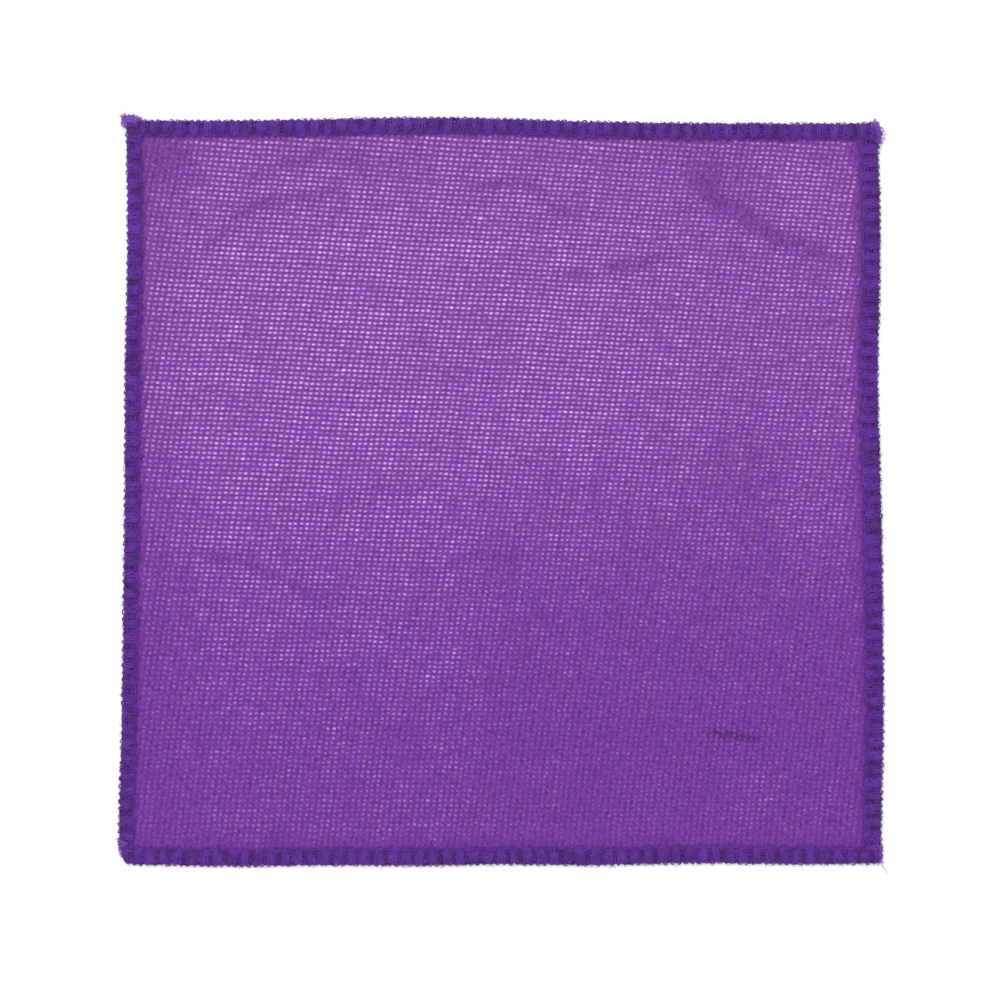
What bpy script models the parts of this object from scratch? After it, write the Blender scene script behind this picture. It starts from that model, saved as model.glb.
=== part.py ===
"""Quick-dry travel towel, lying flat with its face up.

One square of open-knit microfibre has its four raw edges bound by three-thread overlock. Each edge is
one sewn run of three threads: a needle thread along the inner line, an upper looper thread over the
face and round the raw edge, and a lower looper thread under the cloth. The cloth climbs over the lower
looper threads at the hem and lies on the surface elsewhere. At each corner a run chains off the cloth
in a short trimmed tail.

Metres, +Z up, +Y towards the back edge. The origin is under the middle of the towel, on the surface.
"""

import math
from collections import namedtuple

import bmesh
import bpy
from mathutils import Vector

# ---- Driving dimensions: the outline, through the crests of the edge stitches ----

CORNERS = {
    "front_left": Vector((-0.1257, -0.1236)),
    "front_right": Vector((0.1257, -0.1232)),
    "back_right": Vector((0.1246, 0.1217)),
    "back_left": Vector((-0.1234, 0.1226)),
}

# ---- Driving dimensions: the hem, from the surface up ----

GAP = 0.0003                     # clearance between touching pieces
LOWER_THICKNESS = 0.0008         # lower looper thread, under the cloth
CLOTH_THICKNESS = 0.0008
UPPER_THICKNESS = 0.0009         # upper looper thread, over the cloth
NEEDLE_RADIUS = 0.00025          # the needle thread is the finest

BAND_WIDTH = 0.0055              # the overlock, from the outer edge to the needle line
LOWER_WIDTH = 0.0050
LIP_WIDTH = 0.00055              # the upper looper thread where it wraps the raw edge
VALLEY_SCALE = 0.87              # how far a looper thread draws in between two stitches
CROWN_SHOULDER = 0.72            # where the upper looper's crown begins to fall, of its half width
CROWN_EDGE = 0.35                # how high the crown still is at its outer edge, of its thickness
LOWER_TAPER = 0.85               # the lower looper's width at its top, of its width at its foot
RAW_EDGE_INSET = 0.0013          # the cloth's cut edge, inside the outer edge

# ---- Driving dimensions: the climb of the cloth over the hem, measured in from its raw edge ----

HEM_LAND = 0.0052                # the flat stretch over the lower looper thread
CLIMB_END = 0.0130               # where the cloth has come down to the surface
CLOTH_CELLS = 12                 # cells across the flat middle of the cloth

# ---- Driving dimensions: the ends of the runs, measured in from the edge that they meet ----

OPEN_END = 0.0015                # a run that passes the corner and chains off
BUTT_END = 0.0066                # a run that stops beside its neighbour's needle line
TAIL_OVERHANG = 0.0011           # how far a trimmed tail stands out of the outline
TAIL_HALF_WIDTH = 0.0019
TAIL_HALF_HEIGHT = 0.0012

# ---- Worked out from those ----

CLOTH_HEM_Z = LOWER_THICKNESS + GAP
UPPER_Z = CLOTH_HEM_Z + CLOTH_THICKNESS + GAP
LIP_DROP = UPPER_Z - LOWER_THICKNESS - GAP
BAND_CENTRE = BAND_WIDTH / 2
NEEDLE_INSET = BAND_WIDTH + GAP + NEEDLE_RADIUS
NEEDLE_Z = CLOTH_HEM_Z + CLOTH_THICKNESS + GAP + NEEDLE_RADIUS

# ---- Detail of the meshes ----

NEEDLE_POINTS = 24
TAIL_SEGMENTS = 12
TAIL_RINGS = 8

# A side runs anticlockwise between two corners. Its edge bows out by rise and waves by wave, both in
# metres. start_inset and end_inset say where its sewn run begins and ends.
Side = namedtuple("Side", "name start end rise wave cycles start_inset end_inset stitches")

SIDES = (
    Side("front", "front_left", "front_right", 0.0001, 0.00025, 3, OPEN_END, OPEN_END, 56),
    Side("right", "front_right", "back_right", 0.0, 0.0006, 1, BUTT_END, BUTT_END, 53),
    Side("back", "back_right", "back_left", 0.0009, 0.0003, 2, OPEN_END, BUTT_END, 55),
    Side("left", "back_left", "front_left", -0.0002, 0.0003, 2, OPEN_END, BUTT_END, 48),
)

# A tail chains off one end of one side's run: the start of the side, or its end.
TAILS = (
    ("chain_tail_front_left", "front", "start"),
    ("chain_tail_front_right", "front", "end"),
    ("chain_tail_back_right", "back", "start"),
    ("chain_tail_back_left", "left", "start"),
)

# ---- Colours, linear, with roughness ----

CLOTH_COLOUR = (0.215, 0.050, 0.355, 1.0)
LOOPER_COLOUR = (0.105, 0.028, 0.300, 1.0)
NEEDLE_COLOUR = (0.075, 0.020, 0.215, 1.0)
TAIL_COLOUR = (0.150, 0.045, 0.360, 1.0)
CLOTH_ROUGHNESS = 0.9
THREAD_ROUGHNESS = 0.8


def clear_scene():
    for old in list(bpy.data.objects):
        bpy.data.objects.remove(old, do_unlink=True)


def make_collection(name):
    collection = bpy.data.collections.new(name)
    bpy.context.scene.collection.children.link(collection)
    return collection


def material(name, colour, roughness):
    new = bpy.data.materials.new(name)
    new.use_nodes = True
    shader = new.node_tree.nodes["Principled BSDF"]
    shader.inputs["Base Color"].default_value = colour
    shader.inputs["Roughness"].default_value = roughness
    shader.inputs["Metallic"].default_value = 0.0
    return new


def direction(side):
    """The unit vector from a side's first corner to its second."""
    return (CORNERS[side.end] - CORNERS[side.start]).normalized()


def outward(side):
    along = direction(side)
    return Vector((along.y, -along.x))


def edge_point(side, t, inset=0.0):
    """A point a share t of the way along a side, inset from its wavy outer edge."""
    bow = side.rise * math.sin(math.pi * t) ** 2
    bow += side.wave * math.sin(2 * math.pi * side.cycles * t) * math.sin(math.pi * t)
    return CORNERS[side.start].lerp(CORNERS[side.end], t) + outward(side) * (bow - inset)


def run_point(side, share, inset, height):
    """A point a share of the way along a side's sewn run, inset from the outer edge."""
    length = (CORNERS[side.end] - CORNERS[side.start]).length
    distance = side.start_inset + share * (length - side.start_inset - side.end_inset)
    flat = edge_point(side, distance / length, inset)
    return Vector((flat.x, flat.y, height))


# ---- The cloth ----


def cloth_corner(first, second):
    """Where the raw edges of two neighbouring sides would meet, side second following side first."""
    corner = CORNERS[second.start]
    return corner - outward(first) * RAW_EDGE_INSET - outward(second) * RAW_EDGE_INSET


def cloth_point(across, up):
    """A point of the cloth for shares across (left to right) and up (front to back), as a Coons patch."""
    front, right, back, left = SIDES
    corner_fl = cloth_corner(left, front)
    corner_fr = cloth_corner(front, right)
    corner_br = cloth_corner(right, back)
    corner_bl = cloth_corner(back, left)
    bow_front = edge_point(front, across) - CORNERS["front_left"].lerp(CORNERS["front_right"], across)
    bow_right = edge_point(right, up) - CORNERS["front_right"].lerp(CORNERS["back_right"], up)
    bow_back = edge_point(back, 1 - across) - CORNERS["back_left"].lerp(CORNERS["back_right"], across)
    bow_left = edge_point(left, 1 - up) - CORNERS["front_left"].lerp(CORNERS["back_left"], up)
    flat = corner_fl.lerp(corner_fr, across).lerp(corner_bl.lerp(corner_br, across), up)
    return flat + bow_front * (1 - up) + bow_back * up + bow_left * (1 - across) + bow_right * across


def cloth_height(inset):
    """The height of the cloth's underside at a distance in from its raw edge."""
    climb = (inset - HEM_LAND) / (CLIMB_END - HEM_LAND)
    climb = min(max(climb, 0.0), 1.0)
    return CLOTH_HEM_Z * (1 - climb * climb * (3 - 2 * climb))


def stations(length):
    """Shares of a side where the cloth's mesh has its lines: close over the hem, wide in the middle."""
    hem = [0.0, HEM_LAND, (HEM_LAND + CLIMB_END) / 2]
    step = (length - 2 * CLIMB_END) / CLOTH_CELLS
    middle = [CLIMB_END + step * i for i in range(CLOTH_CELLS + 1)]
    return [d / length for d in hem + middle + [length - d for d in reversed(hem)]]


def make_cloth(collection):
    width = (cloth_point(1, 0.5) - cloth_point(0, 0.5)).length
    depth = (cloth_point(0.5, 1) - cloth_point(0.5, 0)).length
    columns, rows = stations(width), stations(depth)
    mesh = bpy.data.meshes.new("fabric_panel")
    sheet = bmesh.new()
    bmesh.ops.create_grid(sheet, x_segments=len(columns) - 1, y_segments=len(rows) - 1, size=0.5)
    for vert in sheet.verts:
        across = columns[round((vert.co.x + 0.5) * (len(columns) - 1))]
        up = rows[round((vert.co.y + 0.5) * (len(rows) - 1))]
        inset = min(across * width, (1 - across) * width, up * depth, (1 - up) * depth)
        flat = cloth_point(across, up)
        vert.co = (flat.x, flat.y, cloth_height(inset))
    sheet.to_mesh(mesh)
    sheet.free()
    cloth = bpy.data.objects.new("fabric_panel", mesh)
    collection.objects.link(cloth)
    thick = cloth.modifiers.new("cloth thickness", "SOLIDIFY")
    thick.thickness = CLOTH_THICKNESS
    thick.offset = 1.0
    return cloth


# ---- The overlock threads ----


def poly_curve(name, points, radii, collection, cyclic=False):
    data = bpy.data.curves.new(name, "CURVE")
    data.dimensions = "3D"
    data.twist_mode = "Z_UP"
    spline = data.splines.new("POLY")
    spline.points.add(len(points) - 1)
    for slot, point, radius in zip(spline.points, points, radii, strict=True):
        slot.co = (*point, 1.0)
        slot.radius = radius
    spline.use_cyclic_u = cyclic
    curve = bpy.data.objects.new(name, data)
    collection.objects.link(curve)
    return curve


def make_profile(name, outline, guides):
    """A closed cross-section: outward is +X, up is +Y, and the run's own line passes through (0, 0)."""
    points = [(x, y, 0.0) for x, y in reversed(outline)]
    profile = poly_curve(name, points, [1.0] * len(points), guides, cyclic=True)
    profile.data.dimensions = "2D"
    profile.hide_render = True
    profile.display_type = "WIRE"
    return profile


def upper_outline():
    """The upper looper thread: a low crown over the cloth, with a lip down over the raw edge."""
    half = BAND_WIDTH / 2
    shoulder = half * CROWN_SHOULDER
    return (
        (-half, 0.0),
        (half - LIP_WIDTH, 0.0),
        (half - LIP_WIDTH, -LIP_DROP),
        (half, -LIP_DROP),
        (half, UPPER_THICKNESS * CROWN_EDGE),
        (shoulder, UPPER_THICKNESS),
        (-shoulder, UPPER_THICKNESS),
    )


def lower_outline():
    """The lower looper thread: flat on the surface, with sides that lean in."""
    foot = LOWER_WIDTH / 2
    top = foot * LOWER_TAPER
    return ((-foot, 0.0), (foot, 0.0), (top, LOWER_THICKNESS), (-top, LOWER_THICKNESS))


def make_looper(name, side, height, profile, collection):
    """A looper thread over a whole run: widest at each stitch and drawn in between two stitches."""
    steps = 2 * side.stitches
    points = [run_point(side, i / steps, BAND_CENTRE, height) for i in range(steps + 1)]
    radii = [1.0 if i % 2 else VALLEY_SCALE for i in range(steps + 1)]
    looper = poly_curve(name, points, radii, collection)
    looper.data.bevel_mode = "OBJECT"
    looper.data.bevel_object = profile
    looper.data.use_fill_caps = True
    return looper


def make_needle_thread(name, side, collection):
    """The needle thread, lying on the cloth just inside the looper thread."""
    shares = [i / (NEEDLE_POINTS - 1) for i in range(NEEDLE_POINTS)]
    points = [run_point(side, share, NEEDLE_INSET, NEEDLE_Z) for share in shares]
    thread = poly_curve(name, points, [1.0] * NEEDLE_POINTS, collection)
    thread.data.bevel_depth = NEEDLE_RADIUS
    thread.data.bevel_resolution = 1
    thread.data.use_fill_caps = True
    return thread


def make_tail(name, side, end, collection):
    """A trimmed stub of chained thread beyond one end of a run."""
    inner = OPEN_END - GAP - (1 - VALLEY_SCALE) * LIP_WIDTH
    half_length = (inner + TAIL_OVERHANG) / 2
    away = -direction(side) if end == "start" else direction(side)
    edge = CORNERS[side.start if end == "start" else side.end]
    flat = edge - outward(side) * BAND_CENTRE + away * (TAIL_OVERHANG - half_length)
    bpy.ops.mesh.primitive_uv_sphere_add(segments=TAIL_SEGMENTS, ring_count=TAIL_RINGS, radius=1.0)
    tail = bpy.context.object
    tail.name = name
    tail.data.name = name
    tail.scale = (half_length, TAIL_HALF_WIDTH, TAIL_HALF_HEIGHT)
    bpy.ops.object.transform_apply(location=False, rotation=False, scale=True)
    tail.location = (flat.x, flat.y, GAP + TAIL_HALF_HEIGHT)
    tail.rotation_euler.z = math.atan2(away.y, away.x)
    tail.data.shade_smooth()
    for owner in list(tail.users_collection):
        owner.objects.unlink(tail)
    collection.objects.link(tail)
    return tail


def finish(part, frame, look):
    part.data.materials.append(look)
    part.parent = frame


def build():
    clear_scene()
    towel = make_collection("quick_dry_towel")
    guides = make_collection("guides")
    frame = bpy.data.objects.new("towel_frame", None)
    towel.objects.link(frame)

    cloth_look = material("cloth", CLOTH_COLOUR, CLOTH_ROUGHNESS)
    looper_look = material("looper_thread", LOOPER_COLOUR, THREAD_ROUGHNESS)
    needle_look = material("needle_thread", NEEDLE_COLOUR, THREAD_ROUGHNESS)
    tail_look = material("chain_tail", TAIL_COLOUR, THREAD_ROUGHNESS)

    finish(make_cloth(towel), frame, cloth_look)

    upper_profile = make_profile("upper_looper_section", upper_outline(), guides)
    lower_profile = make_profile("lower_looper_section", lower_outline(), guides)
    for side in SIDES:
        upper = make_looper("upper_looper_thread_" + side.name, side, UPPER_Z, upper_profile, towel)
        lower = make_looper("lower_looper_thread_" + side.name, side, 0.0, lower_profile, towel)
        needle = make_needle_thread("needle_thread_" + side.name, side, towel)
        finish(upper, frame, looper_look)
        finish(lower, frame, looper_look)
        finish(needle, frame, needle_look)

    sides = {side.name: side for side in SIDES}
    for name, side_name, end in TAILS:
        finish(make_tail(name, sides[side_name], end, towel), frame, tail_look)


build()
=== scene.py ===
"""Looks of the quick dry towel: the open knit cloth, its overlock threads and their tails, floor and light.

Metres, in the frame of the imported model: +Z up, +Y towards the back edge, origin under the middle.
Points on the hem are given as a distance along a side, an inset from its outer edge and a height.
"""

import math
from collections import namedtuple

import bpy
import numpy as np
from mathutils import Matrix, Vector


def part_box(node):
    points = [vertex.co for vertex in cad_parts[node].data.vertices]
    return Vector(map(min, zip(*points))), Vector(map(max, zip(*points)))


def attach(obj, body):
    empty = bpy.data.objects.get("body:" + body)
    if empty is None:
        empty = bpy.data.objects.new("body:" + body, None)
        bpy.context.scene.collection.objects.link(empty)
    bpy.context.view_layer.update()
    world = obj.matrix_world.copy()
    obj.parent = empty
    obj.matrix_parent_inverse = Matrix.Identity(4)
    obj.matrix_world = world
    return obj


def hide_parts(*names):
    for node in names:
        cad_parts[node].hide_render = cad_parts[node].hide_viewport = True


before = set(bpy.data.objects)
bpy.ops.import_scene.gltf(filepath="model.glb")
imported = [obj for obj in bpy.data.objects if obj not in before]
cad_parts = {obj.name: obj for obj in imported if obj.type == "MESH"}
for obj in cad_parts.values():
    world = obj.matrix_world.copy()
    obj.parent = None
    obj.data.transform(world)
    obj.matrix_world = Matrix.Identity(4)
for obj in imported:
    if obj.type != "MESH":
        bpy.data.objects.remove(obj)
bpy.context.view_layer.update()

MM = 0.001

# ---- The outline, as the CAD model has it ----

CORNERS = {
    "front_left": np.array((-0.1257, -0.1236)),
    "front_right": np.array((0.1257, -0.1232)),
    "back_right": np.array((0.1246, 0.1217)),
    "back_left": np.array((-0.1234, 0.1226)),
}
OPEN_END = 0.0015                # where a run ends that passes the corner
BUTT_END = 0.0050                # where a run ends under its neighbour

Side = namedtuple("Side", "name start end rise wave cycles start_inset end_inset stitches")

SIDES = (
    Side("front", "front_left", "front_right", 0.0001, 0.00025, 3, OPEN_END, OPEN_END, 56),
    Side("right", "front_right", "back_right", 0.0, 0.0006, 1, BUTT_END, BUTT_END, 53),
    Side("back", "back_right", "back_left", 0.0009, 0.0003, 2, OPEN_END, BUTT_END, 55),
    Side("left", "back_left", "front_left", -0.0002, 0.0003, 2, OPEN_END, BUTT_END, 48),
)

# How the sewn edge wanders in from the CAD outline, in mm: a shift, then waves as size, number along the
# side and phase in turns. Then how wide the seam is beside the CAD model's, how far its two ends are
# rounded off in mm, and how far from the seam the knit is drawn shut in mm.
Seam = namedtuple("Seam", "shift waves width round_start round_end shut")

SEAMS = {
    "front": Seam(
        0.1, ((-0.20, 1, 0.0), (-0.12, 2, 0.0), (0.22, 3, 0.0), (0.15, 4, 0.25)), 0.97, 2.2, 0.3, 6.0
    ),
    "right": Seam(-0.05, ((0.23, 2, 0.14), (0.20, 3, 0.25)), 1.04, 0.0, 0.0, 3.6),
    "back": Seam(0.7, ((0.40, 1, 0.04), (-0.15, 2, 0.25)), 0.94, 1.0, 0.0, 1.0),
    "left": Seam(0.2, ((0.16, 1, -0.14), (0.40, 2, -0.05), (-0.13, 3, 0.25)), 0.87, 0.0, 0.0, 2.2),
}
ROUND_REACH = 0.006              # length over which a run's end is rounded off
DRIFT_FADE = 0.03                # how soon the seam's wander grows from a corner

# ---- Heights, from the CAD model ----

CLOTH_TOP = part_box("fabric_panel")[1][2]           # the cloth's face at the hem
LOWER_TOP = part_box("lower_looper_thread_front")[1][2]

# ---- The cloth ----

KNIT_REACH = (0.155, 0.135)      # half the size of the knit that the cloth is cut from
RAW_EDGE = 0.0008                # inset of the cut edge
CUT_MARGIN = 0.0003              # how far inside it the outermost holes lie
HEM_LAND = 0.0065                # inset at which the cloth leaves the hem
CLIMB_END = 0.0145               # inset at which it has come down to the floor
CLOTH_BODY = 0.00042             # thickness of the knit between its two faces
FLOOR_GAP = 0.00005              # how far the knit's underside lies above the floor
FACE_DROP = 0.00008              # less FLOOR_GAP, how far its face lies below the CAD model's at the hem

WALE_PITCH = 0.001888            # holes along X
WALE_LEAN = 0.160                # the columns of holes lean this far in X for each metre in Y
WALE_BEND = 0.173
COURSE_PITCH = 0.001572          # holes along Y
COURSE_SLOPE = 0.0277            # the rows fall this far in Y for each metre in X
COURSE_FAN = 0.2885
PLACE_PASSES = 8                 # passes that settle a place on the bent lattice

# How far the lattice drifts in X and in Y, each with the scale of its drift
DRIFT_X, DRIFT_X_SCALE = 0.00012, 0.050
DRIFT_Y, DRIFT_Y_SCALE = 0.00022, 0.045

STAGGER = 0.16                   # how far rows of shut knit stray from column to column, in pitches
STAGGER_SCALE = 2.5              # cells over which they stray
STAGGER_SQUEEZE = 0.2            # how much slower they stray along a column than along a row
STAGGER_OPEN = (0.30, 0.65)      # openness over which they stop straying
HOLE_SIZE = 0.19                 # radius of an open hole, in pitches
HOLE_SPREAD = 0.13               # how unequal neighbouring holes are
HOLE_STRAY = 0.12                # how unequal their widths are
HOLE_WIDTH = (0.86, 0.54)        # width of a shut hole beside its size, and how much wider an open one is
HOLE_SQUASH = 0.08               # how much lower an open one is
HOLE_LEAN = (-0.25, 0.25)        # how far a hole leans, and how much that varies
MIDDLE_STRAY = (0.045, 0.13)     # how far an open hole's middle strays, in pitches, and more when shut
# The paleness of a hole is painted light: the light that comes through it, over the sheer fibres that cross
# it
PALE_POWER = 1.75                # how much faster the paleness of a hole grows than its openness
PALE_UNEVEN = (0.070, 0.06)      # how unequally open shut holes are, and how much more open ones
PALE_SHUT = 0.44                 # how much of the paleness nearly shut holes lose
PALE_SHUT_UP_TO = (0.28, 0.58)   # openness over which they lose it
HOLE_DEPTH = 0.00030             # how far the fibres that cross an open hole lie below the knit's face
RIM_DEPTH = 0.00004              # how far below it every hole's rim and middle lie besides
RIM_SHARE = 0.25                 # how much of an open hole's depth its rim has
RIB = 0.00010                    # height of the ribs up the columns of holes
GROOVE = -0.00008                # height of the valleys between them
ROUGHNESS = 0.00003              # how uneven both are

# How unlike neighbouring cells of the knit are: weight of each cell's own value, then of runs of cells as
# weight, half length and axis (0 along a row, 1 up a column)
LONE_UNEVEN = 0.68
RUN_UNEVEN = ((0.56, 1, 0), (0.36, 5, 0), (0.36, 5, 1))

# How much painted shade the knit gets between its holes: in the valleys where it is shut, on the ribs where
# it is open, between two holes of a row where it is shut and how much less where it is open, and how much
# that varies
DARK_VALLEY, DARK_RIB, DARK_LINK, LINK_OPENS, DARK_SPREAD = 0.34, 0.10, 0.52, 0.48, 0.19
DARK_OPEN = (0.20, 0.75)         # openness over which shut becomes open there
PALE_LINK, PALE_RIM = 0.28, 0.6  # how much of a hole's painted light the knit between two open holes and a rim get beside a hole
HEM_SHADE = (0.0073, 0.0047)     # inset over which the knit darkens towards the needle line: partly its own darker hem, partly painted shade beside the seam
HEM_WAVER, HEM_WAVER_SCALE = 0.0008, 0.004
TINT_BROAD, TINT_FINE = 0.25, 0.40   # how much broad and small areas lean to blue or to red

# How open the knit is over broad areas, from 0 to 1: towards the back, and towards the front
BACK_OPEN, FRONT_OPEN = 0.738, 0.45
BACK_TO_FRONT = (-0.066, 0.043)  # Y over which one becomes the other
BACK_TO_FRONT_TILT = 0.03        # how far that falls in Y for each metre in X
BROAD_WAVER, BROAD_WAVER_SCALE = 0.005, 0.035
# What is taken off those: how much, from which X or Y, and to which
BACK_RIGHT = (0.14, 0.015, 0.080)
BACK_EDGE = (0.13, 0.075, 0.108)
FRONT_RIGHT = (0.105, -0.020, 0.010)
FRONT_EDGE = (0.07, -0.060, -0.090)
LEFT_EDGE = (0.24, -0.088, -0.115)
GLOW_RANGE = (-0.090, 0.085)     # Y over which the painted glow, for light through the cloth, grows

# How much the openness varies over areas of some size, and how unevenly the seam draws the knit shut
CLOUDS, CLOUDS_SCALE = 0.03, 0.022
MOTTLE, MOTTLE_SCALE = 0.05, 0.007
SHUT_UNEVEN, SHUT_WAVER, SHUT_WAVER_SCALE = 0.3, 1.2, 0.012
SHUT_FROM, SHUT_LEAST = 0.1, 0.7     # in mm from the needle line: where it opens, and where at the least

# Where the knit is more open (or shut, if negative) than round it: x, y and reach in mm, and change
OPEN_PATCHES = (
    (-112, 110, 10, -0.21),
    (68, 104, 7, -0.14),
    (50, 98, 9, 0.08),
    (98, 100, 13, 0.16),
    (-12, 40, 11, -0.08),
    (61, 21, 5, 0.14),
    (78, 4, 12, -0.08),
    (8, 0, 14, -0.08),
    (117, 3, 9, -0.12),
    (-75, -58, 25, 0.05),
    (40, -9, 12, -0.04),
    (100, -10, 12, 0.08),
    (1, -24, 10, -0.06),
    (84, -100, 11, 0.14),
    (45, -102, 10, 0.05),
    (-45, -100, 14, 0.03),
    (110, -66, 10, -0.06),
)

# Soft folds, where the knit is drawn shut (or open, if negative): half width in mm, how much, how high
# in mm, and the points along it in mm
FOLDS = (
    (2.3, 0.27, 0.7, ((-100, 78), (-92, 85), (-80, 95), (-65, 97), (-50, 99))),
    (2.2, 0.24, 0.6, ((-86, 101), (-75, 107), (-58, 112), (-47, 109), (-43, 102))),
    (2.2, 0.24, 0.6, ((-17, 97), (0, 102), (10, 101), (19, 93), (27, 90))),
    (2.2, 0.28, 0.8, ((12, 71), (29, 72), (43, 75), (59, 79))),
    (3.0, 0.38, 0.9, ((63, 106), (70, 97), (79, 91), (92, 83), (114, 75))),
    (1.6, 0.27, 0.7, ((-104, -21), (-93, -22), (-83, -24), (-70, -30), (-57, -38))),
    (2.4, 0.14, 0.5, ((-72, -7), (-50, -2), (-33, 2), (-20, 0))),
    (1.8, 0.16, 0.4, ((-23, -26), (-7, -21), (10, -22))),
    (2.2, -0.10, 0.4, ((-53, -38), (-33, -57), (-25, -62), (-9, -51))),
    (1.8, -0.13, 0.4, ((112, -89), (104, -114))),
)

FOLD_SPREAD = 1.6                # how much wider a fold's height is than its shut knit
FOLD_DRAW, FOLD_BREAKS = 0.9, 0.35   # how strongly a fold draws the knit shut, and how much that varies
FOLD_BREAKS_SCALE = 0.009
FOLD_FADE, FOLD_START = 0.25, 0.05   # the share of a fold that fades at each end, and where it starts
CREASE_FADE = 0.25               # the same for a sharp crease

# Sharp creases: the ends in mm, half width and height in mm, and how dark their painted shade is
CREASES = (
    (69, -79.4, 85, -82.2, 1.2, 0.8, 0.8),
    (68.6, -82.0, 68.0, -88.5, 0.7, 0.2, 0.3),
)

# Low ripples anywhere, and puckers beside the hem: height and scale
RIPPLE, RIPPLE_SCALE = 0.00022, 0.030
PUCKER, PUCKER_SCALE = 0.00025, 0.012
PUCKER_REACH = (0.045, 0.010)    # inset over which the puckers grow
RIPPLES_FROM = 0.022             # inset at which folds and ripples have their whole height

# ---- The overlock ----

NEEDLE_LINE = 0.0054             # inset of the needle thread
LEG = 0.13                       # half the spacing of the two legs of a stitch, in pitches
UPPER_STRANDS = 6
LOWER_STRANDS = 4
STRAND_RADIUS = 0.00025
STRAND_SPACING = 0.00026
EDGE_SPACING = 0.00012           # spacing of the strands round the raw edge
STRAND_UNDER = 0.0001            # how much lower every second strand lies
CRIMP = 0.00013                  # how far a bulked filament strays from its strand's line
CRIMP_INWARD = 1.2               # how much further the strands stray and lie apart across the seam
DOME = 0.00030                   # how much higher a stitch is in its middle than at its sides
DOME_HALF = 0.3                  # half the width of a stitch's dome, in pitches
TIP_BACK = 0.00045               # how far a stitch's sides fall short of its tip
TIP_FROM = (0.0035, 0.0050)      # inset over which they do
THICK_SPREAD = 0.20              # how much a filament's thickness varies along it
EDGE_THINNER = 0.2               # how much thinner it is round the raw edge
THICK_RANGE = (0.6, 1.4)

# How much one stitch differs from the next: its place in pitches, its lean, its share of width, and the
# height of its legs in mm
JITTER_PLACE, JITTER_LEAN, JITTER_WIDTH, JITTER_HEIGHT = 0.03, 0.03, 0.06, 0.06

BED_LINES = 10                   # slack filaments under the stitches
BED_STEP = 0.0004
BED_FROM, BED_WIDTH = 0.9, 4.1   # inset of the outermost, and width of all of them, in mm
BED_STRAY, BED_DRIFT = 0.0003, 0.00025   # how far they stray across the seam at once, and slowly
BED_SLIP = 0.0002                # how far they stray along it
BED_RISE, BED_WAVE = 0.00002, 0.00008    # their height over the cloth's face, and how much it varies
BED_SAG, BED_SAG_FROM = 0.0003, (0.0016, 0.0008)   # how far they sink at the edge, and over which inset

EDGE_LOOPS = 4                   # fine loops round the edge, lying over one another
EDGE_LOOP_RADIUS = 0.00010
LOOP_OUT = (-0.30, 0.45)         # how far one stands out of the edge, in mm
LOOP_HEIGHT, LOOP_UNEVEN = 1.1, 0.35   # its height, and how much that varies, in mm
LOOP_STRAY = 0.08                # how far its points stray along the edge, in loops

HAIR_RADIUS = 0.00005
FACE_HAIRS, FACE_INSETS = 550, (1.2, 5.2)   # hairs on the seam's face, and their insets in mm
EDGE_HAIRS, EDGE_INSETS = 850, (0.0, 1.7)   # hairs round its outer edge
HAIR_STEP = (0.15, 0.40)         # length of each of a hair's four parts, in mm
HAIR_CURL = 1.1                  # how far it turns from one to the next, in radians
HAIR_RISE = 0.35                 # how far its end may rise, in mm
NEEDLE_RADIUS = 0.00020
NEEDLE_STRAY = 0.0001            # how far the needle thread strays from its line
LEAST_HEIGHT = 0.0004            # lowest middle line of a loose fibre

# One needle stitch: distance in pitches, and height in mm over the cloth's face
NEEDLE_STITCH = ((0.0, -0.45), (0.12, -0.05), (0.5, 0.08), (0.88, -0.05))

# ---- Colours, linear ----

# The cloth's base colours, shut and with painted glow: the glowing ones are lighter for light that comes
# through the more open knit towards the back
CLOTH_CLOSED = (0.163, 0.0335, 0.278, 1.0)
CLOTH_LIT_THROUGH = (0.183, 0.0430, 0.262, 1.0)
BLUISH_CLOSED = (0.146, 0.0335, 0.301, 1.0)
BLUISH_LIT_THROUGH = (0.164, 0.0430, 0.288, 1.0)
# pale lilac of painted light through the holes, over the sheer fibres that cross them
HOLE_PAINTED_LIGHT = (0.80, 0.42, 0.98, 1.0)
# painted shade, for the valleys, specks and creases of the knit
PAINTED_SHADE = (0.060, 0.012, 0.130, 1.0)
# the hem's colour: partly the cloth's own darker hem under the seam, partly painted shade beside it
HEM = (0.080, 0.015, 0.170, 1.0)
# the slack filaments under the stitches: partly darker thread, partly painted shade in the gaps between the
# stitches
BED_DEEP = (0.030, 0.005, 0.066, 1.0)
BED_MID = (0.040, 0.0075, 0.092, 1.0)
THREAD_DEEP = (0.058, 0.012, 0.140, 1.0)
THREAD_MID = (0.118, 0.0265, 0.298, 1.0)
THREAD_LIGHT = (0.18, 0.055, 0.42, 1.0)
TUFT = (0.270, 0.098, 0.51, 1.0)
FLUFF_DEEP = (0.28, 0.11, 0.54, 1.0)
FLUFF = (0.40, 0.19, 0.66, 1.0)
FLUFF_LIGHT = (0.68, 0.45, 0.88, 1.0)
SHEEN = (0.85, 0.6, 1.0, 1.0)

SHADE_SPECKS = 0.42                    # how dark the painted shade of the knit's specks is
CREST_HIGHLIGHTS = 0.35                    # how strong the painted highlights along a thread's filament crests are

FIELD_WAVES = 6                  # crossed waves in each octave of a random field
FIELD_GAIN = 2.2

rng = np.random.default_rng(25)


# ---- Outline ----


def along(side):
    span = CORNERS[side.end] - CORNERS[side.start]
    return span / np.linalg.norm(span)


def outward(side):
    x, y = along(side)
    return np.array((y, -x))


def length(side):
    return float(np.linalg.norm(CORNERS[side.end] - CORNERS[side.start]))


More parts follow.
